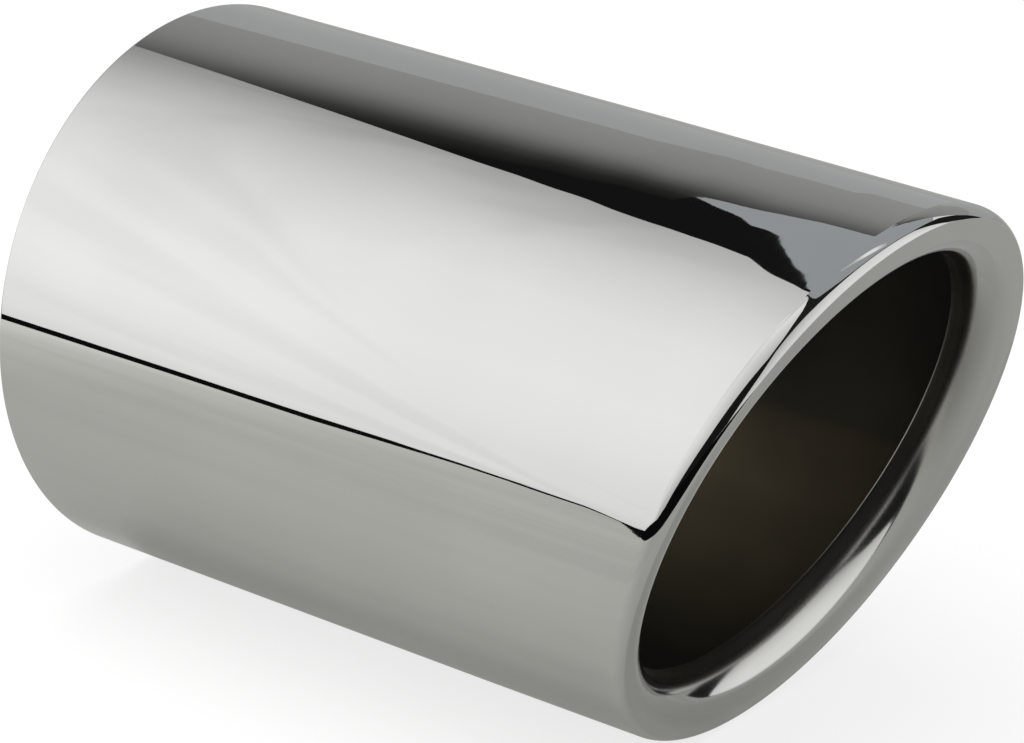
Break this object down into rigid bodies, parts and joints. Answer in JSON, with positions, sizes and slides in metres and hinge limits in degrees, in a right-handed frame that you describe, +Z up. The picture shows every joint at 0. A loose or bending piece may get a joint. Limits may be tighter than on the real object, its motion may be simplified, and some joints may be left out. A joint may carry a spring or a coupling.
{
  "type": "exhaust tip",
  "caption": "Polished stainless steel exhaust tip: a plain round tube with a slant-cut outlet and a rolled-in lip, slipped over a tailpipe end and welded or clamped there.",
  "frame": {"origin": "centre of the inlet's open end, on the tube's axis", "axes": "+X along the tube from the inlet to the outlet, +Z up with the longest side of the slanted outlet on top, as fitted to a car"},
  "size_m": [0.1201, 0.076, 0.076],
  "materials": {
    "polished_steel": "mirror-polished stainless steel outside and on the lip, plain darker tube surface inside"
  },
  "bodies": {
    "root": {"exhaust_tip": "polished_steel"}
  },
  "joints": []
}
